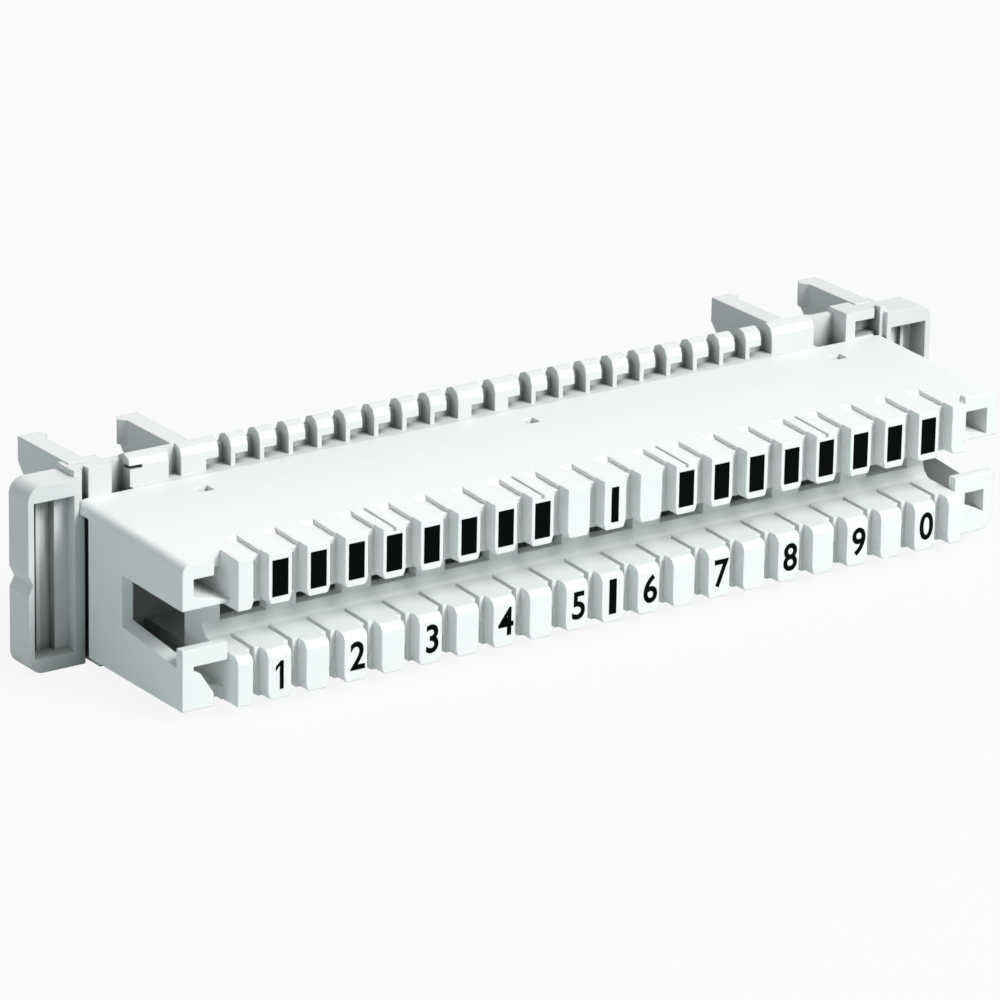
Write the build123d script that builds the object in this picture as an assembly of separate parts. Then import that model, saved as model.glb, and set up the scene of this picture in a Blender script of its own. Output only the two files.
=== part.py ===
from build123d import *
import os

os.makedirs("parts", exist_ok=True)

# Millimetres. X runs along the strip, +Y to the back, +Z up. Z = 0 is the bottom of the rear base.
# While the pieces are drawn, Y = 0 is the front of the fingers. export_part moves them to the middle.

# How far a cutter runs past the face that it cuts
PAST = 1.0

# Combs: 20 wire slots between 21 fingers, in two rows
SLOTS = 20
PITCH = 4.9
MOUTH = 1.95
MOUTH_DEPTH = 1.8
END_FINGER = 1.9
FINGER_FLARE = 0.6
FLARE_HEIGHT = 0.8
FINGER_ROUND = 0.9
SLOT_LENGTH = 4.5
SLOT_BACK = MOUTH_DEPTH + SLOT_LENGTH
BODY_LOW = 1.36
COMB_DROP = 0.06
LOW_COMB = BODY_LOW - COMB_DROP
LOW_COMB_HEIGHT = 5.6
LOW_COMB_TOP = LOW_COMB + LOW_COMB_HEIGHT
LOW_COMB_RISE = 0.25
LOW_SLOT = 0.6
LEAD_HEIGHT = 2.7
LOW_LEAD_IN = LOW_COMB + LEAD_HEIGHT
LEAD_DEPTH = 1.4
LOW_LEAD_IN_BACK = MOUTH_DEPTH + LEAD_DEPTH
PLUG_GAP = 5.4
UP_COMB = LOW_COMB_TOP + PLUG_GAP
UP_COMB_HEIGHT = 5.75
UP_COMB_TOP = UP_COMB + UP_COMB_HEIGHT
UP_SLOT = 0.7
UP_SLOT_RAISE = 0.4
UP_SLOT_LOW = UP_COMB + UP_SLOT_RAISE
UP_SLOT_ROOF = 1.05
UP_SLOT_TOP = UP_COMB_TOP - UP_SLOT_ROOF
GROOVE = 1.6
GROOVE_DEEP = 0.45
GROOVE_END = 0.5
FINE_GROOVE = 0.4
FINE_GROOVE_COUNT = 4

FIRST_SLOT = -(SLOTS - 1) / 2 * PITCH
SLOT_X = [FIRST_SLOT + i * PITCH for i in range(SLOTS)]
FINGER_X = [x + PITCH / 2 for x in SLOT_X[:-1]]
COMB_HALF = -FIRST_SLOT + MOUTH / 2 + END_FINGER

# Housing shell behind the combs
SLOT_TO_WALL = 1.1
WALL_FRONT = SLOT_BACK + SLOT_TO_WALL
WALL = 1.5
WALL_FOOT = 1.4
CAVITY_FRONT = WALL_FRONT + WALL
SIDE = 1.4
TOWER = 5.975
BODY_HALF = COMB_HALF + TOWER
INNER_HALF = BODY_HALF - SIDE
SKIN = 1.5
TOP_RISE = 0.35
TOP_AT_SLOT = UP_COMB_TOP + TOP_RISE
BACK_RISE = 0.6
TOP_AT_BACK = TOP_AT_SLOT + BACK_RISE
CAVITY_LOW = BODY_LOW + SKIN
CAVITY_TOP = TOP_AT_SLOT - SKIN
CAVITY_INSET = 0.8
CAVITY_HALF = COMB_HALF - CAVITY_INSET

# End towers and the recesses behind them
TOWER_FRONT = 1.7
RECESS_REACH = 5.2
RECESS_BACK = CAVITY_FRONT + RECESS_REACH
BODY_REACH = 7.0
BODY_BACK = RECESS_BACK + BODY_REACH
TOP_LIP = 2.3
TOP_BACK = BODY_BACK + TOP_LIP
UP_TOWER_RAISE = 0.6
UP_TOWER_LOW = UP_COMB + UP_TOWER_RAISE
UP_POCKET_SKIN = 1.7
UP_POCKET_TOP = UP_COMB_TOP - UP_POCKET_SKIN
UP_FLOOR_HIGH = 1.4
UP_FLOOR_LOW = 0.3
UP_CHEEK = 1.5
CHEEK_DEPTH = 4.3
CHEEK_BACK = TOWER_FRONT + CHEEK_DEPTH
LOW_TOWER_RAISE = 1.5
LOW_TOWER_TOP = LOW_COMB_TOP + LOW_TOWER_RAISE
LOW_PLATE = 2.05
LOW_PLATE_DEPTH = 1.2
LOW_PLATE_BACK = TOWER_FRONT + LOW_PLATE_DEPTH
LOW_POCKET_TOP = LOW_TOWER_TOP - LOW_PLATE
TOWER_SLIT = 0.3
NOTCH = 2.0
NOTCH_REACH = 2.0
NOTCH_BACK = TOWER_FRONT + NOTCH_REACH
SMALL_NOTCH = 0.9
ARM_DROP = 1.75
ARM_FRONT_IN = LOW_TOWER_TOP - ARM_DROP
ARM_SLOPE = 0.55
ARM_FRONT_OUT = ARM_FRONT_IN - ARM_SLOPE
ARM_RISE = 1.15
WINDOW_TOP_FRONT = UP_TOWER_LOW
WINDOW_RISE = 0.3
WINDOW_TOP_BACK = UP_TOWER_LOW + WINDOW_RISE
CORNER_TOP = 1.0
CORNER_BOTTOM = 2.0

# Outlines of the lower towers' bosses, as shares of the plate above them and of the pocket's width
BOSS_EDGE = 0.3
BOSS_SHOULDER = 0.45
BOSS_SHOULDER_OUT = 0.2
BOSS_FOOT_OUT = 0.6
BOSS_SLOPE_IN = 0.7
BOSS_SLOPE_OUT = 1.3

# Test windows in the wall behind the plug slot, one for each pair, and snap windows in the top
TEST_WINDOW_WIDER = 1.1
TEST_WINDOW = PITCH + TEST_WINDOW_WIDER
TEST_WINDOW_LOW = LOW_COMB_TOP + LOW_COMB_RISE + WALL_FOOT
SNAP_LEFT_INSET = 7.9
SNAP_MIDDLE = 2.0
SNAP_RIGHT_INSET = 3.7
SNAP_X = [-COMB_HALF + SNAP_LEFT_INSET, SNAP_MIDDLE, COMB_HALF - SNAP_RIGHT_INSET]
SNAP_HALF = 0.9
SNAP_FROM_BACK = 2.2
SNAP_FRONT = BODY_BACK - SNAP_FROM_BACK
SNAP_DEPTH = 1.5
SNAP_BACK = SNAP_FRONT + SNAP_DEPTH
LUG_FRONT_GAP = 0.5
LUG_SIDE_GAP = 0.6
LUG_BELOW_TOP = 0.35

# Contacts: a fork at 45 degrees in each slot, and a leaf that meets its partner
FORK_UP_RAISE = 2.55
FORK_UP = UP_COMB + FORK_UP_RAISE
FORK_LOW_RAISE = 3.3
FORK_LOW = LOW_COMB + FORK_LOW_RAISE
FORK_THICK = 0.5
FORK_HALF = 1.8
FORK_SETBACK = 1.1
FORK_FRONT = MOUTH_DEPTH + FORK_SETBACK
FORK_NOTCH = 0.18
FORK_NOTCH_LENGTH = 4.0
FORK_NOTCH_BACK = FORK_FRONT + FORK_NOTCH_LENGTH
FORK_LEAD = 0.6
SHOULDER_STEP = 0.35
SHOULDER_HALF = FORK_HALF + SHOULDER_STEP
SHOULDER_DEPTH = 1.5
SHOULDER_BACK = CAVITY_FRONT + SHOULDER_DEPTH
FORK_CLEAR = 0.06
FORK_FRONT_CLEAR = 0.3
LEAF_THICK = 0.4
LEAF_HALF = 0.8
LEAF_ROOT = 0.85
LEAF_INSET = 0.5
LEAF_START = CAVITY_FRONT + LEAF_INSET
LEAF_STRAIGHT = 0.4
LEAF_BEND = SHOULDER_BACK + LEAF_STRAIGHT
LEAF_REACH = 4.6
MEET_FRONT = SHOULDER_BACK + LEAF_REACH
MEET_LENGTH = 0.8
MEET_BACK = MEET_FRONT + MEET_LENGTH
FLARE_LENGTH = 1.4
FLARE_BACK = MEET_BACK + FLARE_LENGTH
FLARE_RISE = 1.0
MEET_Z = (FORK_UP + FORK_LOW) / 2

# Rear base: spine, tongue, guide posts, wings and clip prongs
SPINE_DEPTH = 5.8
SPINE_BACK = BODY_BACK + SPINE_DEPTH
SPINE_PLATE = 2.3
SPINE_TOP = TOP_AT_BACK - SKIN
SPINE_FLANGE = 1.5
RIB = 1.2
RIB_COUNT = 7
BAR_CLEAR = 0.1
BAR_INTO = 0.1
BAR_SIDE_CLEAR = 0.3
BAR_HALF = CAVITY_HALF - BAR_SIDE_CLEAR
GUIDE_SETBACK = 0.8
GUIDE_FRONT = TOP_BACK + GUIDE_SETBACK
GUIDE_FLOOR = TOP_AT_BACK
GUIDE_HEIGHT = 3.4
GUIDE_TOP = GUIDE_FLOOR + GUIDE_HEIGHT
GUIDE_ROUND = 1.2
GUIDE_FACET = 0.3 * GUIDE_ROUND
GUIDE_PITCH = 3.8
GUIDE_GAP = 1.6
GUIDE_WALL = 0.9
GUIDE_WALL_DROP = 1.1
UNDERCUT = 1.6
UNDERCUT_HEIGHT = 1.3
GUIDE_LEFT_INSET = 1.2
GUIDE_LEFT = -COMB_HALF + GUIDE_LEFT_INSET
GUIDE_RIGHT_INSET = 3.7
GUIDE_RIGHT = COMB_HALF - GUIDE_RIGHT_INSET
GUIDE_MIDDLE = -0.5
GUIDE_MIDDLE_STEP = 5.05
BLOCK_SLOT_INSET = 5.8
BLOCK_SLOT_X = GUIDE_LEFT + BLOCK_SLOT_INSET
BLOCK_SLOT = 1.6
BLOCK_SLIT = 1.6
BLOCK_SLIT_HEIGHT = 0.4
BLOCK_SLIT_RAISE = 1.9
BLOCK_SLIT_Z = GUIDE_FLOOR + BLOCK_SLIT_RAISE
END_WALL_LEFT_OUT = 1.6
END_WALL_LEFT = COMB_HALF + END_WALL_LEFT_OUT
END_WALL_RIGHT_OUT = 0.4
END_WALL_RIGHT = COMB_HALF + END_WALL_RIGHT_OUT
END_WALL_DEPTH = 1.4
BACK_WALL = 0.9
BACK_WALL_DROP = 0.6
END_HOLE = 3.6
END_HOLE_RAISE = 0.2
END_HOLE_LOW = GUIDE_FLOOR + END_HOLE_RAISE
END_HOLE_DROP = 1.2
END_HOLE_HIGH = GUIDE_TOP - END_HOLE_DROP
WING_SETBACK = 1.7
WING_FRONT = BODY_BACK + WING_SETBACK
WING_LAP = 0.3
WING_CLEAR = 0.1
WING_SLIT = 0.84
WING = 6.6
WING_HALF = BODY_HALF + WING
WING_DROP = 0.65
WING_TOP = GUIDE_TOP - WING_DROP
WING_SIDE = 0.75
WING_RIM_TOP = 1.95
WING_RIM_BOTTOM = 1.7
WING_BACK_WALL = 1.3
WING_CORNER = 1.8
WING_STEP = 2.7
WING_STEP_DEPTH = 1.6
WING_STEP_FRONT = WING_FRONT + WING_STEP_DEPTH
WING_RIB = 0.5
WING_RIB_DEPTH = 0.6
WING_NOTCH_DROP = 0.5
WING_NOTCH_Z = WING_TOP / 2 - WING_NOTCH_DROP
WING_NOTCH_HALF = 1.2
WING_NOTCH_DEPTH = 0.6
CLIP_INSET = 7.9
CLIP_X = BODY_HALF - CLIP_INSET
CLIP_GAP = 10.6
PRONG = 2.4
PRONG_REACH = 9.6
PRONG_BACK = SPINE_BACK + PRONG_REACH
PRONG_TIP = 2.9
PRONG_RAISE = 0.1
PRONG_TOP = GUIDE_TOP + PRONG_RAISE
PRONG_WEB = 13.3
PRONG_ROOT_LOW = PRONG_TOP - PRONG_WEB
BARB = 0.8
BARB_LENGTH = 1.9

DEPTH = PRONG_BACK


def box(x0, x1, y0, y1, z0, z1):
    middle = ((x0 + x1) / 2, (y0 + y1) / 2, (z0 + z1) / 2)
    return Pos(*middle) * Box(x1 - x0, y1 - y0, z1 - z0)


def along_x(points, x0, x1):
    # points are (y, z)
    wire = Polyline(*[(x0, y, z) for y, z in points], close=True)
    return extrude(make_face(wire), amount=x1 - x0, dir=(1, 0, 0))


def along_y(points, y0, y1):
    # points are (x, z)
    wire = Polyline(*[(x, y0, z) for x, z in points], close=True)
    return extrude(make_face(wire), amount=y1 - y0, dir=(0, 1, 0))


def top_z(y):
    if y < SLOT_BACK:
        return UP_COMB_TOP + (TOP_AT_SLOT - UP_COMB_TOP) * y / SLOT_BACK
    return TOP_AT_SLOT + (TOP_AT_BACK - TOP_AT_SLOT) * (y - SLOT_BACK) / (TOP_BACK - SLOT_BACK)


def at_slots(cutter):
    return [Pos(x, 0, 0) * cutter for x in SLOT_X]


def mouth_cutter(low, top):
    # wire mouth between two fingers, flared where the fingers are rounded at the bottom
    half = MOUTH / 2
    side = [(half, top), (half, low + FLARE_HEIGHT), (half + FINGER_FLARE / 3, low + FLARE_HEIGHT / 4)]
    side.append((half + FINGER_FLARE, low - PAST / 4))
    return along_y(side + [(-x, z) for x, z in reversed(side)], -PAST, MOUTH_DEPTH)


def fork_pocket(z):
    # 45 degree pocket that holds the fork, running through to the cavity
    half = FORK_HALF + FORK_CLEAR
    thick = FORK_THICK / 2 + FORK_CLEAR
    pocket = box(-half, half, FORK_FRONT - FORK_FRONT_CLEAR, CAVITY_FRONT + WALL / 3, -thick, thick)
    return Pos(0, 0, z) * Rot(0, 45, 0) * pocket


def upper_cutter():
    high = top_z(TOP_BACK) + PAST
    mouth = mouth_cutter(UP_COMB, high)
    slot = box(-UP_SLOT / 2, UP_SLOT / 2, 0, SLOT_BACK, UP_SLOT_LOW, UP_SLOT_TOP)
    end = SLOT_BACK - GROOVE_END
    slope = [(SLOT_BACK, top_z(SLOT_BACK)), (SLOT_BACK, high), (0, high)]
    slope += [(0, top_z(0) - GROOVE_DEEP), (end, top_z(end) - GROOVE_DEEP)]
    groove = along_x(slope, -GROOVE / 2, GROOVE / 2)
    return mouth + slot + groove + fork_pocket(FORK_UP)


def lower_cutter():
    high = LOW_COMB_TOP + PAST
    mouth = mouth_cutter(LOW_COMB, high)
    slot = box(-LOW_SLOT / 2, LOW_SLOT / 2, 0, SLOT_BACK, LOW_LEAD_IN, high)
    low = LOW_COMB - PAST
    slope = [(0, low), (LOW_LEAD_IN_BACK, low), (LOW_LEAD_IN_BACK, LOW_COMB), (MOUTH_DEPTH, LOW_LEAD_IN)]
    slope.append((0, LOW_LEAD_IN))
    groove = along_x(slope, -GROOVE / 2, GROOVE / 2)
    return mouth + slot + groove + fork_pocket(FORK_LOW)


def lower_comb():
    back_top = LOW_COMB_TOP + LOW_COMB_RISE
    foot = WALL_FRONT - WALL_FOOT
    profile = [(0, LOW_COMB), (0, LOW_COMB_TOP), (foot, back_top)]
    profile.append((foot + WALL_FOOT / 3, back_top + WALL_FOOT / 12))
    profile += [(WALL_FRONT - WALL_FOOT / 4, back_top + WALL_FOOT / 2), (WALL_FRONT, back_top + WALL_FOOT)]
    profile += [(CAVITY_FRONT, back_top + WALL_FOOT), (CAVITY_FRONT, LOW_COMB)]
    comb = along_x(profile, -COMB_HALF, COMB_HALF)
    front_edges = comb.edges().filter_by(Axis.X).group_by(Axis.Y)[0]
    return fillet(front_edges.sort_by(Axis.Z)[-1:], FINGER_ROUND)


def upper_comb():
    profile = [(0, UP_COMB), (0, top_z(0)), (SLOT_BACK, top_z(SLOT_BACK))]
    profile += [(CAVITY_FRONT, top_z(CAVITY_FRONT)), (CAVITY_FRONT, UP_COMB)]
    return along_x(profile, -COMB_HALF, COMB_HALF)


def shell():
    # top skin, bottom skin, side walls and the wall behind the plug slot
    outer = [(TOWER_FRONT, BODY_LOW), (TOWER_FRONT, top_z(TOWER_FRONT)), (SLOT_BACK, top_z(SLOT_BACK))]
    outer += [(TOP_BACK, TOP_AT_BACK), (TOP_BACK, SPINE_TOP), (BODY_BACK, SPINE_TOP), (BODY_BACK, BODY_LOW)]
    body = along_x(outer, -BODY_HALF, BODY_HALF)
    by_side = body.edges().filter_by(Axis.Y).group_by(Axis.X)[-1]
    body = fillet(by_side.sort_by(Axis.Z)[:1], CORNER_BOTTOM)
    ends = [e for e in body.edges() if abs(e.center().X) > INNER_HALF and e.center().Y < BODY_BACK]
    body = fillet([e for e in ends if e.center().Z > UP_COMB_TOP], CORNER_TOP)
    back = BODY_BACK + PAST
    narrow = box(-CAVITY_HALF, CAVITY_HALF, CAVITY_FRONT, back, CAVITY_LOW, CAVITY_TOP)
    wide = box(-INNER_HALF, INNER_HALF, RECESS_BACK - PAST / 4, back, CAVITY_LOW, CAVITY_TOP)
    front = box(-COMB_HALF, COMB_HALF, 0, WALL_FRONT, 0, TOP_AT_BACK + PAST)
    body -= [narrow, wide, front]
    for side in (-1, 1):
        ends = sorted((side * COMB_HALF, side * INNER_HALF))
        body -= box(*ends, LOW_PLATE_BACK, RECESS_BACK, CAVITY_LOW, UP_POCKET_TOP)
        body -= box(*ends, 0, LOW_PLATE_BACK, LOW_TOWER_TOP, UP_POCKET_TOP)
        ends = sorted((side * COMB_HALF, side * (COMB_HALF + TOWER_SLIT)))
        body -= box(*ends, 0, LOW_PLATE_BACK, 0, UP_TOWER_LOW)
        # the recess opens inwards, behind the last contacts
        ends = sorted((side * (CAVITY_HALF - PAST), side * (COMB_HALF + PAST)))
        body -= box(*ends, SHOULDER_BACK + PAST / 2, RECESS_BACK, CAVITY_LOW, CAVITY_TOP - SKIN)
    return body


def front_opening_ends(side):
    # the way in between the upper and the lower tower, out through the side
    ends = sorted((side * COMB_HALF, side * (BODY_HALF + PAST)))
    return box(*ends, 0, LOW_PLATE_BACK, LOW_TOWER_TOP, UP_TOWER_LOW)


def side_window(side):
    # opening for a plug in the side wall; its lower edge rises to the back and slopes down outwards
    x0 = side * (INNER_HALF - PAST / 10)
    x1 = side * (BODY_HALF + PAST / 100)
    tops = [(RECESS_BACK, WINDOW_TOP_BACK), (LOW_PLATE_BACK, WINDOW_TOP_FRONT)]
    faces = []
    for x, low in ((x0, ARM_FRONT_IN), (x1, ARM_FRONT_OUT)):
        points = [(LOW_PLATE_BACK, low), (RECESS_BACK, low + ARM_RISE)] + tops
        faces.append(make_face(Polyline(*[(x, y, z) for y, z in points], close=True)))
    return loft(faces)


def upper_tower(side):
    # sloped pocket floor; it falls towards +X on both towers
    left, right = sorted((side * COMB_HALF, side * INNER_HALF))
    floor = [(left, UP_TOWER_LOW + UP_FLOOR_HIGH), (right, UP_TOWER_LOW + UP_FLOOR_LOW)]
    floor += [(right, UP_TOWER_LOW), (left, UP_TOWER_LOW)]
    return along_y(floor, TOWER_FRONT, RECESS_BACK)


def lower_pocket(side):
    # pocket in the front of the lower tower; what is left under it is the rounded boss
    outer = side * INNER_HALF
    inner = side * (COMB_HALF + TOWER_SLIT)
    low, high = BODY_LOW - PAST, LOW_POCKET_TOP
    if side < 0:
        shoulder = outer + BOSS_SHOULDER_OUT * (inner - outer)
        foot = outer + BOSS_FOOT_OUT * (inner - outer)
        points = [(outer, high), (outer, high - BOSS_EDGE * LOW_PLATE)]
        points += [(shoulder, high - BOSS_SHOULDER * LOW_PLATE), (foot, CAVITY_LOW)]
        points += [(foot, low), (inner, low), (inner, high)]
    else:
        cheek = inner + UP_CHEEK
        points = [(cheek, high), (cheek, high - BOSS_SLOPE_IN * LOW_PLATE)]
        points += [(outer, high - BOSS_SLOPE_OUT * LOW_PLATE), (outer, high)]
    return along_y(points, 0, LOW_PLATE_BACK + PAST)


def tower_cuts():
    cuts = []
    for side in (-1, 1):
        cuts += [side_window(side), lower_pocket(side)]
    cuts.append(box(-COMB_HALF - NOTCH, -COMB_HALF, 0, NOTCH_BACK, UP_POCKET_TOP - PAST, TOP_AT_BACK))
    left = COMB_HALF + UP_CHEEK / 4
    back = TOWER_FRONT + SMALL_NOTCH
    cuts.append(box(left, left + SMALL_NOTCH, 0, back, UP_COMB_TOP - PAST, TOP_AT_BACK))
    return cuts


def row_cuts():
    # what repeats along the combs, the wall and the top
    cuts = at_slots(upper_cutter()) + at_slots(lower_cutter())
    for x in FINGER_X[0::2]:
        half = TEST_WINDOW / 2
        back = CAVITY_FRONT + PAST / 4
        cuts.append(box(x - half, x + half, WALL_FRONT - PAST / 4, back, TEST_WINDOW_LOW, UP_COMB))
    step = SLOTS // (FINE_GROOVE_COUNT + 1)
    for x in FINGER_X[step - 1::step]:
        half = FINE_GROOVE / 2
        cuts.append(box(x - half, x + half, -PAST, SLOT_BACK, top_z(0) - FINE_GROOVE, TOP_AT_BACK))
    for x in SNAP_X:
        low = CAVITY_TOP - PAST / 4
        cuts.append(box(x - SNAP_HALF, x + SNAP_HALF, SNAP_FRONT, SNAP_BACK, low, TOP_AT_BACK))
    return cuts


def front_housing():
    body = shell() + upper_comb() + lower_comb()
    for side in (-1, 1):
        body += upper_tower(side)
    cheek = box(COMB_HALF, COMB_HALF + UP_CHEEK, TOWER_FRONT, CHEEK_BACK, UP_TOWER_LOW, UP_COMB_TOP)
    return body + cheek - [front_opening_ends(side) for side in (-1, 1)] - tower_cuts() - row_cuts()


def fork():
    # stamped plate, drawn flat with its slot along Y, then turned 45 degrees about Y
    points = [(FORK_HALF - FORK_LEAD, FORK_FRONT), (FORK_NOTCH + FORK_LEAD / 2, FORK_FRONT)]
    points += [(FORK_NOTCH, FORK_FRONT + FORK_LEAD), (FORK_NOTCH, FORK_NOTCH_BACK)]
    left = [(-x, y) for x, y in reversed(points)]
    rest = [(-FORK_HALF, FORK_FRONT + FORK_LEAD), (-FORK_HALF, CAVITY_FRONT)]
    rest += [(-SHOULDER_HALF, CAVITY_FRONT), (-SHOULDER_HALF, SHOULDER_BACK)]
    rest += [(SHOULDER_HALF, SHOULDER_BACK), (SHOULDER_HALF, CAVITY_FRONT)]
    rest += [(FORK_HALF, CAVITY_FRONT), (FORK_HALF, FORK_FRONT + FORK_LEAD)]
    plate = make_face(Polyline(*points, *left, *rest, close=True))
    plate = extrude(plate, amount=FORK_THICK)
    return Rot(0, 45, 0) * Pos(0, 0, -FORK_THICK / 2) * plate


def leaf(root, meet, up):
    # bent spring strip: from the fork's root to the meeting plane, then flared away from it
    half = LEAF_THICK * up
    line = [(LEAF_START, root), (LEAF_BEND, root), (MEET_FRONT, meet), (MEET_BACK, meet)]
    line.append((FLARE_BACK, meet + FLARE_RISE * up))
    return along_x(line + [(y, z + half) for y, z in reversed(line)], -LEAF_HALF, LEAF_HALF)


def upper_contact():
    return Pos(0, 0, FORK_UP) * fork() + leaf(FORK_UP - LEAF_ROOT, MEET_Z, 1)


def lower_contact():
    return Pos(0, 0, FORK_LOW) * fork() + leaf(FORK_LOW + LEAF_ROOT, MEET_Z, -1)


def spine():
    # channel that is open to the back, with ribs across it
    body = box(-BODY_HALF, BODY_HALF, BODY_BACK, SPINE_BACK, 0, SPINE_TOP)
    inner = BODY_HALF - SPINE_FLANGE
    step = 2 * inner / (RIB_COUNT + 1)
    front = BODY_BACK + SPINE_PLATE
    pockets = []
    for i in range(RIB_COUNT + 1):
        x = -inner + i * step
        x0 = x + (RIB / 2 if i else 0)
        x1 = x + step - (RIB / 2 if i < RIB_COUNT else 0)
        pockets.append(box(x0, x1, front, SPINE_BACK + PAST, SPINE_FLANGE, SPINE_TOP - SPINE_FLANGE))
    return body - pockets


def tongue():
    # two bars that hold the contacts' shoulders, with the lugs that snap into the top windows
    up_top = CAVITY_TOP - BAR_CLEAR
    bars = box(-BAR_HALF, BAR_HALF, SHOULDER_BACK, BODY_BACK, FORK_UP - BAR_INTO, up_top)
    bars += box(-BAR_HALF, BAR_HALF, SHOULDER_BACK, BODY_BACK, CAVITY_LOW + BAR_CLEAR, FORK_LOW + BAR_INTO)
    for x in SNAP_X:
        left = x - SNAP_HALF + BAR_CLEAR
        right = x + SNAP_HALF - LUG_SIDE_GAP
        high = top_z(SNAP_FRONT) - LUG_BELOW_TOP
        bars += box(left, right, SNAP_FRONT + LUG_FRONT_GAP, SNAP_BACK - BAR_CLEAR, up_top - PAST / 4, high)
    return bars


def guide_gaps():
    left = GUIDE_MIDDLE - GUIDE_MIDDLE_STEP
    right = GUIDE_MIDDLE + GUIDE_MIDDLE_STEP
    gaps = [left - GUIDE_PITCH * i for i in range(SLOTS // 2 - 1)]
    return gaps + [GUIDE_MIDDLE] + [right + GUIDE_PITCH * i for i in range(SLOTS // 2)]


def guide_posts():
    # rounded bar behind the top, cut into hooked posts that keep the wires in order
    low = SPINE_TOP - PAST / 4
    top, cut = GUIDE_TOP, GUIDE_ROUND
    front, back = GUIDE_FRONT, SPINE_BACK
    facet = GUIDE_FACET
    profile = [(TOP_BACK, low), (TOP_BACK, GUIDE_FLOOR), (front, GUIDE_FLOOR), (front, top - cut)]
    profile += [(front + facet, top - facet), (front + cut, top), (back - cut, top)]
    profile += [(back - facet, top - facet), (back, top - cut), (back, low)]
    bar = along_x(profile, GUIDE_LEFT, GUIDE_RIGHT)
    half = GUIDE_GAP / 2
    high = GUIDE_FLOOR + UNDERCUT_HEIGHT
    over = top - GUIDE_WALL_DROP
    shape = [(half, GUIDE_FLOOR), (half, over), (-half, over), (-half, high)]
    shape += [(-half - UNDERCUT, high), (-half - UNDERCUT, GUIDE_FLOOR)]
    gap = along_y(shape, front - PAST / 4, back - GUIDE_WALL)
    gap += box(-half, half, front - PAST / 4, back + PAST, over - PAST / 10, top + PAST)
    cutters = [Pos(x, 0, 0) * gap for x in guide_gaps()]
    middle = (front + back) / 2
    left, right = BLOCK_SLOT_X - BLOCK_SLOT / 2, BLOCK_SLOT_X + BLOCK_SLOT / 2
    cutters.append(box(left, right, front - PAST, middle, GUIDE_FLOOR, top + PAST))
    left, right = GUIDE_LEFT - PAST, GUIDE_LEFT + BLOCK_SLIT
    slit = BLOCK_SLIT_Z + BLOCK_SLIT_HEIGHT
    cutters.append(box(left, right, front - PAST, middle, BLOCK_SLIT_Z, slit))
    return bar - cutters


def end_walls():
    # walls outside the guide posts: the left one is plain, the right one has a hole
    low, high = SPINE_TOP - PAST / 4, GUIDE_TOP
    outer = BODY_HALF - WING_LAP + WING_SIDE
    back = SPINE_BACK - BACK_WALL
    walls = box(-outer, -END_WALL_LEFT, TOP_BACK, SPINE_BACK, low, high)
    walls += box(END_WALL_RIGHT, outer, TOP_BACK, SPINE_BACK, low, high)
    walls += box(-END_WALL_LEFT, GUIDE_LEFT, back, SPINE_BACK, low, high - BACK_WALL_DROP)
    walls += box(GUIDE_RIGHT, END_WALL_RIGHT, back, SPINE_BACK, low, high - BACK_WALL_DROP)
    hole = END_WALL_RIGHT + END_WALL_DEPTH
    return walls - box(hole, hole + END_HOLE, TOP_BACK - PAST, back, END_HOLE_LOW, END_HOLE_HIGH)


def wing(side):
    # hollow end wing, open to the front, shallower next to the housing and notched on its outer edge
    inner, outer = BODY_HALF - WING_LAP, WING_HALF
    x0, x1 = sorted((side * inner, side * outer))
    body = box(x0, x1, WING_FRONT, SPINE_BACK, 0, WING_TOP)
    by_side = body.edges().filter_by(Axis.Y).group_by(Axis.X)
    body = fillet(by_side[0 if side < 0 else -1], WING_CORNER)
    back = SPINE_BACK - WING_BACK_WALL
    low, high = WING_RIM_BOTTOM, WING_TOP - WING_RIM_TOP
    step = side * (inner + WING_STEP)
    deep = sorted((step, side * (outer - WING_SIDE)))
    shallow = sorted((side * (inner + WING_LAP + WING_SIDE), step))
    body -= box(*deep, WING_FRONT - PAST, back, low, high)
    body -= box(*shallow, WING_FRONT - PAST, WING_STEP_FRONT, low, high)
    middle = sum(deep) / 2
    body += box(middle - WING_RIB / 2, middle + WING_RIB / 2, back - WING_RIB_DEPTH, back, low, high)
    # the notch is a wedge that is cut as far past the edge as it goes into it
    wide = 2 * WING_NOTCH_HALF
    mouth, tip = side * (outer + WING_NOTCH_DEPTH), side * (outer - WING_NOTCH_DEPTH)
    notch = [(mouth, WING_NOTCH_Z - wide), (mouth, WING_NOTCH_Z + wide), (tip, WING_NOTCH_Z)]
    body -= along_y(notch, WING_FRONT - PAST, SPINE_BACK + PAST)
    # the housing's top reaches back past the wing's inner edge
    lip = sorted((side * (inner - PAST), side * (BODY_HALF + WING_CLEAR)))
    return body - box(*lip, WING_FRONT - PAST, TOP_BACK, SPINE_TOP, WING_TOP + PAST)


def wing_slits():
    # gap behind each side wall of the housing, and the slit beside the rim of the wing
    cuts = []
    for side in (-1, 1):
        ends = sorted((side * INNER_HALF, side * (BODY_HALF + PAST)))
        cuts.append(box(*ends, BODY_BACK - PAST, WING_FRONT, -PAST, WING_TOP + PAST))
        ends = sorted((side * INNER_HALF, side * (INNER_HALF + WING_SLIT)))
        cuts.append(box(*ends, BODY_BACK - PAST, WING_STEP_FRONT, -PAST, GUIDE_TOP + PAST))
    return cuts


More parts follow.
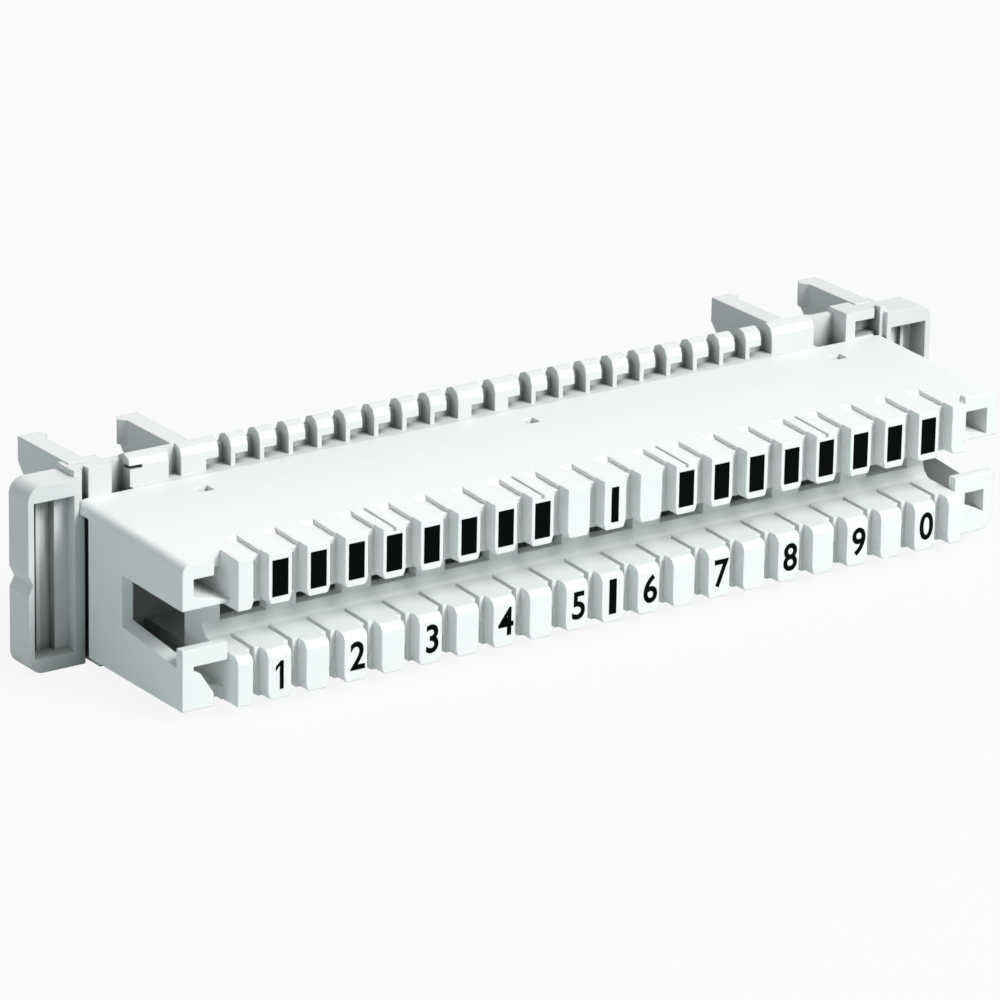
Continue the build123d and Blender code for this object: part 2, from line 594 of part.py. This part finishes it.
def prong(x0, x1, barb):
    # clip arm with a web under its root and a barb at the tip, barb pointing along X
    root = SPINE_BACK - WING_BACK_WALL
    profile = [(root, PRONG_ROOT_LOW), (root, PRONG_TOP), (PRONG_BACK, PRONG_TOP)]
    profile += [(PRONG_BACK, PRONG_TOP - PRONG_TIP), (SPINE_BACK, PRONG_ROOT_LOW)]
    arm = along_x(profile, x0, x1)
    face = x1 if barb > 0 else x0
    front = PRONG_BACK - BARB_LENGTH
    middle = (front + PRONG_BACK) / 2
    hook = [(face, front), (face + barb * BARB, middle)]
    hook += [(face + barb * BARB / 3, PRONG_BACK), (face, PRONG_BACK)]
    wire = Polyline(*[(x, y, PRONG_TOP - PRONG_TIP) for x, y in hook], close=True)
    return arm + extrude(make_face(wire), amount=PRONG_TIP, dir=(0, 0, 1))


def clip(side):
    # two prongs on either side of the leg that the strip snaps onto
    low = side * CLIP_X - CLIP_GAP / 2
    high = side * CLIP_X + CLIP_GAP / 2
    return prong(low - PRONG, low, 1) + prong(high, high + PRONG, -1)


def rear_base():
    body = spine() + tongue() + guide_posts() + end_walls()
    for side in (-1, 1):
        body += wing(side)
        body += clip(side)
    return body - wing_slits()


def export_part(part, name):
    solids = part.solids()
    if len(solids) != 1:
        raise ValueError(f"{name} has {len(solids)} solids")
    export_step(Pos(0, -DEPTH / 2, 0) * solids[0], f"parts/{name}.step")


export_part(front_housing(), "front_housing")
export_part(rear_base(), "rear_base")
for number, x in enumerate(SLOT_X, start=1):
    export_part(Pos(x, 0, 0) * upper_contact(), f"upper_contact_{number:02d}")
    export_part(Pos(x, 0, 0) * lower_contact(), f"lower_contact_{number:02d}")
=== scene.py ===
import math

import bpy
from mathutils import Matrix, Vector


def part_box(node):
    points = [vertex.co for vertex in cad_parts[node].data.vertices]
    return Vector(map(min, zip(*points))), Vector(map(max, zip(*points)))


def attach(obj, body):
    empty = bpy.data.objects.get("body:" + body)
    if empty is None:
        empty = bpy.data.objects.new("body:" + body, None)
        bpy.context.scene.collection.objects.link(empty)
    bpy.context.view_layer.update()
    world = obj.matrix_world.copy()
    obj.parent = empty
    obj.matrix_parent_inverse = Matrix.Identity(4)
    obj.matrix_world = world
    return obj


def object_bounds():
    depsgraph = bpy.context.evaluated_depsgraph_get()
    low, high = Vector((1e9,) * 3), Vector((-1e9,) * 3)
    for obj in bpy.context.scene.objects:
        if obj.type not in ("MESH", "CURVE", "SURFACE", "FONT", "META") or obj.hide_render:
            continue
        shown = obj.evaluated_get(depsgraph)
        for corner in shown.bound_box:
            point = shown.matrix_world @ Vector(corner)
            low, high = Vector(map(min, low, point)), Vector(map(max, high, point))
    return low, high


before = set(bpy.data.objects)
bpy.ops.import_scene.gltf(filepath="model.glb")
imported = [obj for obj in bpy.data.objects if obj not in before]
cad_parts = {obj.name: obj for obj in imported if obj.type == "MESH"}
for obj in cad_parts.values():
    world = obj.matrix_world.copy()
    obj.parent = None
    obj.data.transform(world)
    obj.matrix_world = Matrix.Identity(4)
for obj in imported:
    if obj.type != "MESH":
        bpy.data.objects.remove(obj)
cad_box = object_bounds()


# Front housing. One injection moulding in white polyester with both combs, the plug slot and the end
# towers. Its faces are smooth, with the faint cloudiness and the fine skin texture of the mould.
MM = 0.001
HOUSING_WHITE = (0.78, 0.80, 0.795, 1)
HOUSING_CLOUD = (0.745, 0.765, 0.76, 1)
PLASTIC_IOR = 1.46
EDGE_ROUND = 0.15 * MM
GRAIN_SCALE = 4000.0
GRAIN_DEPTH = 0.01 * MM
GRAIN_STRENGTH = 0.15
CLOUD_SCALE = 90.0
SKIN_SMOOTH = 0.42
SKIN_ROUGH = 0.56


def mould_skin():
    group = bpy.data.node_groups.new("mould_skin", "ShaderNodeTree")
    for name, default in (("Grain Scale", GRAIN_SCALE), ("Cloud Scale", CLOUD_SCALE)):
        socket = group.interface.new_socket(name, in_out="INPUT", socket_type="NodeSocketFloat")
        socket.default_value = default
    group.interface.new_socket("Light", in_out="INPUT", socket_type="NodeSocketColor")
    group.interface.new_socket("Cloud", in_out="INPUT", socket_type="NodeSocketColor")
    group.interface.new_socket("Colour", in_out="OUTPUT", socket_type="NodeSocketColor")
    group.interface.new_socket("Roughness", in_out="OUTPUT", socket_type="NodeSocketFloat")
    group.interface.new_socket("Height", in_out="OUTPUT", socket_type="NodeSocketFloat")
    nodes, links = group.nodes, group.links
    given, out = nodes.new("NodeGroupInput"), nodes.new("NodeGroupOutput")
    place = nodes.new("ShaderNodeTexCoord")
    grain, cloud = nodes.new("ShaderNodeTexNoise"), nodes.new("ShaderNodeTexNoise")
    grain.inputs["Detail"].default_value = 3
    cloud.inputs["Detail"].default_value = 2
    colour, rough = nodes.new("ShaderNodeMix"), nodes.new("ShaderNodeMapRange")
    colour.data_type = "RGBA"
    rough.inputs["To Min"].default_value = SKIN_SMOOTH
    rough.inputs["To Max"].default_value = SKIN_ROUGH
    for noise, scale in ((grain, "Grain Scale"), (cloud, "Cloud Scale")):
        links.new(place.outputs["Object"], noise.inputs["Vector"])
        links.new(given.outputs[scale], noise.inputs["Scale"])
    links.new(cloud.outputs["Fac"], colour.inputs["Factor"])
    links.new(given.outputs["Light"], colour.inputs["A"])
    links.new(given.outputs["Cloud"], colour.inputs["B"])
    links.new(grain.outputs["Fac"], rough.inputs["Value"])
    links.new(colour.outputs["Result"], out.inputs["Colour"])
    links.new(rough.outputs["Result"], out.inputs["Roughness"])
    links.new(grain.outputs["Fac"], out.inputs["Height"])
    return group


def moulded_plastic(name, skin, light, cloud):
    material = bpy.data.materials.new(name)
    material.use_nodes = True
    nodes, links = material.node_tree.nodes, material.node_tree.links
    shader = nodes["Principled BSDF"]
    shader.inputs["IOR"].default_value = PLASTIC_IOR
    surface = nodes.new("ShaderNodeGroup")
    surface.node_tree = skin
    surface.inputs["Light"].default_value = light
    surface.inputs["Cloud"].default_value = cloud
    edge, bump = nodes.new("ShaderNodeBevel"), nodes.new("ShaderNodeBump")
    edge.samples = 6
    edge.inputs["Radius"].default_value = EDGE_ROUND
    bump.inputs["Strength"].default_value = GRAIN_STRENGTH
    bump.inputs["Distance"].default_value = GRAIN_DEPTH
    links.new(surface.outputs["Colour"], shader.inputs["Base Color"])
    links.new(surface.outputs["Roughness"], shader.inputs["Roughness"])
    links.new(surface.outputs["Height"], bump.inputs["Height"])
    links.new(edge.outputs["Normal"], bump.inputs["Normal"])
    links.new(bump.outputs["Normal"], shader.inputs["Normal"])
    return material


def finish_node(name, material):
    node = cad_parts[name]
    node.data.materials.clear()
    node.data.materials.append(material)


mould = mould_skin()
housing_plastic = moulded_plastic("housing_plastic", mould, HOUSING_WHITE, HOUSING_CLOUD)
finish_node("front_housing", housing_plastic)


# Rear base. A second moulding in the same polyester, with the wings, the wire-guide posts and the clip
# prongs. Its colours are painted a shade greyer than the housing's, as painted shade for the dimmer
# light at the back. Its tongue is pushed into the housing and snaps into the top windows.
# The wire gaps and the wings carry painted shade where they are deep, darkening towards near black.
# painted shade: the base's white and cloud tones are set a shade greyer than the housing's
BASE_SHADED_WHITE = (0.66, 0.68, 0.675, 1)
BASE_SHADED_CLOUD = (0.62, 0.64, 0.635, 1)
# painted shade colour for the deep hollows
PAINTED_SHADE = (0.07, 0.075, 0.074, 1)
SHADE_REACH = 8 * MM
SHADE_DEEP = 0.05
SHADE_OPEN = 0.42


# painted shade: ambient occlusion mixes the base colour towards near black in the hollows
def paint_hollow_shade(material):
    nodes, links = material.node_tree.nodes, material.node_tree.links
    hollow, share = nodes.new("ShaderNodeAmbientOcclusion"), nodes.new("ShaderNodeMapRange")
    hollow.samples = 8
    hollow.inputs["Distance"].default_value = SHADE_REACH
    share.inputs["From Min"].default_value = SHADE_DEEP
    share.inputs["From Max"].default_value = SHADE_OPEN
    shaded = nodes.new("ShaderNodeMix")
    shaded.data_type = "RGBA"
    shaded.inputs["A"].default_value = PAINTED_SHADE
    links.new(hollow.outputs["AO"], share.inputs["Value"])
    links.new(share.outputs["Result"], shaded.inputs["Factor"])
    links.new(nodes["Group"].outputs["Colour"], shaded.inputs["B"])
    links.new(shaded.outputs["Result"], nodes["Principled BSDF"].inputs["Base Color"])


base_plastic = moulded_plastic("base_plastic", mould, BASE_SHADED_WHITE, BASE_SHADED_CLOUD)
paint_hollow_shade(base_plastic)
finish_node("rear_base", base_plastic)


# Contacts. Forks stamped from half-millimetre brass strip and silver-plated, one in each wire slot of
# both combs. The leaves behind them meet inside the housing.
CONTACT_SILVER = (0.74, 0.73, 0.70, 1)
CONTACT_DULL = (0.60, 0.58, 0.54, 1)
CONTACT_ROUGH = 0.32
TARNISH_SCALE = 600.0

silver_plate = bpy.data.materials.new("silver_plate")
silver_plate.use_nodes = True
plate_nodes, plate_links = silver_plate.node_tree.nodes, silver_plate.node_tree.links
plate_shader = plate_nodes["Principled BSDF"]
plate_shader.inputs["Metallic"].default_value = 1.0
plate_shader.inputs["Roughness"].default_value = CONTACT_ROUGH
plate_place = plate_nodes.new("ShaderNodeTexCoord")
plate_cloud = plate_nodes.new("ShaderNodeTexNoise")
plate_cloud.inputs["Scale"].default_value = TARNISH_SCALE
plate_tone = plate_nodes.new("ShaderNodeMix")
plate_tone.data_type = "RGBA"
plate_tone.inputs["A"].default_value = CONTACT_SILVER
plate_tone.inputs["B"].default_value = CONTACT_DULL
plate_links.new(plate_place.outputs["Object"], plate_cloud.inputs["Vector"])
plate_links.new(plate_cloud.outputs["Fac"], plate_tone.inputs["Factor"])
plate_links.new(plate_tone.outputs["Result"], plate_shader.inputs["Base Color"])
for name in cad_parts:
    if "_contact_" in name:
        finish_node(name, silver_plate)


# Printed fields. Black ink, pad-printed on the fronts of the upper fingers as write-on blocks, with a
# narrow bar on the middle finger of each comb to part the two groups of five pairs.
FINGER_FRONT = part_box("front_housing")[0][1]
PITCH = 4.9 * MM
FIELD_WIDTH = 2.05 * MM
FIELD_LOW = 13.1 * MM
FIELD_HIGH = 17.3 * MM
FIELD_RUN = 8
FIRST_FINGER = -9
FIELD_FIRST = (FIRST_FINGER, 2)
BAR_WIDTH = 1.0 * MM
BAR_LOW = (2.2 * MM, 13.1 * MM)
BAR_HEIGHT = 4.15 * MM
INK = 0.02 * MM
INK_BLACK = (0.0015, 0.002, 0.002, 1)
INK_GLOSS = 0.02
INK_SMOOTH = 0.5
INK_ROUGH = 0.7
SPECK_SCALE = 2500.0


def ink(name):
    material = bpy.data.materials.new(name)
    material.use_nodes = True
    nodes, links = material.node_tree.nodes, material.node_tree.links
    shader = nodes["Principled BSDF"]
    place, speck = nodes.new("ShaderNodeTexCoord"), nodes.new("ShaderNodeTexNoise")
    speck.inputs["Scale"].default_value = SPECK_SCALE
    spread = nodes.new("ShaderNodeMapRange")
    spread.inputs["To Min"].default_value = INK_SMOOTH
    spread.inputs["To Max"].default_value = INK_ROUGH
    shader.inputs["Base Color"].default_value = INK_BLACK
    shader.inputs["Specular IOR Level"].default_value = INK_GLOSS
    links.new(place.outputs["Object"], speck.inputs["Vector"])
    links.new(speck.outputs["Fac"], spread.inputs["Value"])
    links.new(spread.outputs["Result"], shader.inputs["Roughness"])
    return material


def print_tree(material):
    # a row of flat blocks: how many, how far apart, where the first one stands and its size
    tree = bpy.data.node_groups.new("printed_row", "GeometryNodeTree")
    tree.interface.new_socket("Count", in_out="INPUT", socket_type="NodeSocketInt")
    for name in ("First", "Step", "Size"):
        tree.interface.new_socket(name, in_out="INPUT", socket_type="NodeSocketVector")
    tree.interface.new_socket("Geometry", in_out="OUTPUT", socket_type="NodeSocketGeometry")
    nodes, links = tree.nodes, tree.links
    given, out = nodes.new("NodeGroupInput"), nodes.new("NodeGroupOutput")
    row, block = nodes.new("GeometryNodeMeshLine"), nodes.new("GeometryNodeMeshCube")
    place, real = nodes.new("GeometryNodeInstanceOnPoints"), nodes.new("GeometryNodeRealizeInstances")
    paint = nodes.new("GeometryNodeSetMaterial")
    paint.inputs["Material"].default_value = material
    links.new(given.outputs["Count"], row.inputs["Count"])
    links.new(given.outputs["First"], row.inputs["Start Location"])
    links.new(given.outputs["Step"], row.inputs["Offset"])
    links.new(given.outputs["Size"], block.inputs["Size"])
    links.new(row.outputs["Mesh"], place.inputs["Points"])
    links.new(block.outputs["Mesh"], place.inputs["Instance"])
    links.new(place.outputs["Instances"], real.inputs["Geometry"])
    links.new(real.outputs["Geometry"], paint.inputs["Geometry"])
    links.new(paint.outputs["Geometry"], out.inputs["Geometry"])
    return tree


def printed_row(name, tree, values):
    carrier = bpy.data.objects.new(name + "_nodes", bpy.data.meshes.new(name + "_nodes"))
    bpy.context.collection.objects.link(carrier)
    modifier = carrier.modifiers.new("row", "NODES")
    modifier.node_group = tree
    for item in tree.interface.items_tree:
        if item.in_out == "INPUT":
            modifier[item.identifier] = values[item.name]
    evaluated = carrier.evaluated_get(bpy.context.evaluated_depsgraph_get())
    mesh = bpy.data.meshes.new_from_object(evaluated)
    bpy.data.objects.remove(carrier)
    piece = bpy.data.objects.new(name, mesh)
    bpy.context.collection.objects.link(piece)
    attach(piece, "root")


black_ink = ink("black_ink")
row_tree = print_tree(black_ink)
ink_y = FINGER_FRONT - INK / 2
for name, first in zip(("fields_left", "fields_right"), FIELD_FIRST):
    printed_row(name, row_tree, {
        "Count": FIELD_RUN,
        "First": (first * PITCH, ink_y, (FIELD_LOW + FIELD_HIGH) / 2),
        "Step": (PITCH, 0, 0),
        "Size": (FIELD_WIDTH, INK, FIELD_HIGH - FIELD_LOW),
    })
printed_row("middle_bars", row_tree, {
    "Count": len(BAR_LOW),
    "First": (0, ink_y, BAR_LOW[0] + BAR_HEIGHT / 2),
    "Step": (0, 0, BAR_LOW[1] - BAR_LOW[0]),
    "Size": (BAR_WIDTH, INK, BAR_HEIGHT),
})


# Pair numbers. Plain black digits printed on every second finger of the lower comb, 1 to 9 and then 0
# for the tenth pair.
DIGITS = "1234567890"
DIGIT_HEIGHT = 3.3 * MM
DIGIT_MIDDLE = 3.97 * MM
DIGIT_NARROW = 0.9
DIGIT_SHIFT = 0.25 * MM
FONT_CAP = 0.73
DIGIT_WEIGHT = 0.02
ONE_HALF = 0.28 * MM
ONE_TIP = 0.15 * MM
FLAG_OUT = 0.85 * MM
FLAG_DROP = 0.6 * MM
FLAG_THICK = 0.55 * MM


def font_digit(text):
    curve = bpy.data.curves.new("digit_" + text, "FONT")
    curve.body = text
    curve.align_x = "CENTER"
    curve.align_y = "CENTER"
    curve.size = DIGIT_HEIGHT / FONT_CAP
    curve.offset = DIGIT_WEIGHT * curve.size
    return curve


def flagged_one():
    # upright stroke with a short flag at its top left
    curve = bpy.data.curves.new("digit_1", "CURVE")
    curve.dimensions = "2D"
    curve.fill_mode = "BOTH"
    top, flag = DIGIT_HEIGHT / 2, DIGIT_HEIGHT / 2 - FLAG_DROP
    outline = [(ONE_HALF, -top), (ONE_HALF, top), (-ONE_TIP, top), (-FLAG_OUT, flag)]
    outline += [(-FLAG_OUT, flag - FLAG_THICK), (-ONE_HALF, top - FLAG_THICK), (-ONE_HALF, -top)]
    spline = curve.splines.new("POLY")
    spline.points.add(len(outline) - 1)
    for point, (sideways, high) in zip(spline.points, outline):
        point.co = (sideways, high, 0, 1)
    spline.use_cyclic_u = True
    return curve


def printed_digit(text, x):
    curve = flagged_one() if text == "1" else font_digit(text)
    curve.extrude = INK / 2
    shape = bpy.data.objects.new("digit_curve", curve)
    bpy.context.collection.objects.link(shape)
    mesh = bpy.data.meshes.new_from_object(shape.evaluated_get(bpy.context.evaluated_depsgraph_get()))
    bpy.data.objects.remove(shape)
    place = Matrix.Translation((x + DIGIT_SHIFT, ink_y, DIGIT_MIDDLE))
    upright = Matrix.Rotation(math.pi / 2, 4, "X")
    mesh.transform(place @ upright @ Matrix.Diagonal((DIGIT_NARROW, 1, 1, 1)))
    mesh.materials.clear()
    mesh.materials.append(black_ink)
    piece = bpy.data.objects.new("digit_" + text, mesh)
    bpy.context.collection.objects.link(piece)
    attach(piece, "root")


for number, text in enumerate(DIGITS):
    printed_digit(text, (FIRST_FINGER + 2 * number) * PITCH)


# Floor, lamps and camera. A white table under soft studio lamps, with the key from the front right and
# the long lens of a catalogue photograph. The camera stands where a fit to the photo's edges put it.
FLOOR_SIZE = 6.0
TABLE = (0.45, 0.5, 0.5, 1)
TABLE_ROUGH = 0.9
TABLE_GLOW = 0.9
KEY_POWER = 33.5
KEY_PLACE = (0.6, -1.15, 1.1)
KEY_SIZE = 0.7
TOP_POWER = 3.5
TOP_PLACE = (0.2, -0.1, 1.4)
TOP_SIZE = 0.9
SIDE_POWER = 9.5
SIDE_PLACE = (-1.6, -0.5, 0.35)
SIDE_SIZE = 1.2
BACK_POWER = 6.5
BACK_PLACE = (0.5, 1.5, 0.35)
BACK_SIZE = 1.0
WHITE = (1, 1, 1)
COOL = (0.80, 1.0, 1.0)
FILL = 0.12
LENS_PIXELS = 6435
FRAME_PIXELS = 1000
SENSOR = 36.0
AZIMUTH = math.radians(34.82)
ELEVATION = math.radians(19.72)
ROLL = math.radians(-1.05)
AIM = Vector((0, FINGER_FRONT, 11.53 * MM))
NEAR = 0.01
OFFSET = Vector((12.72 * MM, -3.93 * MM, 715.6 * MM))


def camera_rays(nodes, links):
    # 1 for rays of the camera and for what mirrors or glass show
    path = nodes.new("ShaderNodeLightPath")
    first, second = nodes.new("ShaderNodeMath"), nodes.new("ShaderNodeMath")
    first.operation = second.operation = "MAXIMUM"
    links.new(path.outputs["Is Camera Ray"], first.inputs[0])
    links.new(path.outputs["Is Glossy Ray"], first.inputs[1])
    links.new(first.outputs["Value"], second.inputs[0])
    links.new(path.outputs["Is Transmission Ray"], second.inputs[1])
    return second.outputs["Value"]


world = bpy.data.worlds.new("studio")
bpy.context.scene.world = world
world.use_nodes = True
sky_nodes, sky_links = world.node_tree.nodes, world.node_tree.links
sky = sky_nodes["Background"]
sky.inputs["Color"].default_value = (1, 1, 1, 1)
sky_mix = sky_nodes.new("ShaderNodeMapRange")
sky_mix.inputs["To Min"].default_value = FILL
sky_mix.inputs["To Max"].default_value = 1.0
sky_links.new(camera_rays(sky_nodes, sky_links), sky_mix.inputs["Value"])
sky_links.new(sky_mix.outputs["Result"], sky.inputs["Strength"])

bpy.ops.mesh.primitive_plane_add(size=FLOOR_SIZE, location=(0, 0, cad_box[0][2]))
floor = bpy.context.object
floor.name = "floor"
table = bpy.data.materials.new("white_table")
table.use_nodes = True
table_nodes, table_links = table.node_tree.nodes, table.node_tree.links
table_shader = table_nodes["Principled BSDF"]
table_shader.inputs["Base Color"].default_value = TABLE
table_shader.inputs["Roughness"].default_value = TABLE_ROUGH
glow, blend = table_nodes.new("ShaderNodeEmission"), table_nodes.new("ShaderNodeMixShader")
share = table_nodes.new("ShaderNodeMath")
share.operation = "MULTIPLY"
share.inputs[1].default_value = TABLE_GLOW
table_links.new(camera_rays(table_nodes, table_links), share.inputs[0])
table_links.new(share.outputs["Value"], blend.inputs["Fac"])
table_links.new(table_shader.outputs["BSDF"], blend.inputs[1])
table_links.new(glow.outputs["Emission"], blend.inputs[2])
table_links.new(blend.outputs["Shader"], table_nodes["Material Output"].inputs["Surface"])
floor.data.materials.append(table)


def lamp(name, place, size, power, colour):
    light = bpy.data.lights.new(name, "AREA")
    light.size = size
    light.energy = power
    light.color = colour
    holder = bpy.data.objects.new(name, light)
    bpy.context.collection.objects.link(holder)
    holder.location = place
    holder.rotation_euler = (-Vector(place)).to_track_quat("-Z", "Y").to_euler()


lamp("key", KEY_PLACE, KEY_SIZE, KEY_POWER, WHITE)
lamp("top", TOP_PLACE, TOP_SIZE, TOP_POWER, WHITE)
lamp("side", SIDE_PLACE, SIDE_SIZE, SIDE_POWER, COOL)
lamp("back", BACK_PLACE, BACK_SIZE, BACK_POWER, WHITE)

sin_a, cos_a = math.sin(AZIMUTH), math.cos(AZIMUTH)
sin_e, cos_e = math.sin(ELEVATION), math.cos(ELEVATION)
right = Vector((cos_a, -sin_a, 0))
ahead = Vector((sin_a * cos_e, cos_a * cos_e, -sin_e))
above = Vector((sin_a * sin_e, cos_a * sin_e, cos_e))
across = math.cos(ROLL) * right - math.sin(ROLL) * above
upward = math.sin(ROLL) * right + math.cos(ROLL) * above
place = AIM - across * OFFSET.x - upward * OFFSET.y - ahead * OFFSET.z
camera = bpy.data.objects.new("camera", bpy.data.cameras.new("camera"))
camera.data.lens = LENS_PIXELS / FRAME_PIXELS * SENSOR
camera.data.sensor_width = SENSOR
camera.data.clip_start = NEAR
turn = Matrix((across, upward, -ahead)).transposed().to_4x4()
camera.matrix_world = Matrix.Translation(place) @ turn
bpy.context.collection.objects.link(camera)
bpy.context.scene.camera = camera
bpy.context.scene.view_settings.view_transform = "Standard"
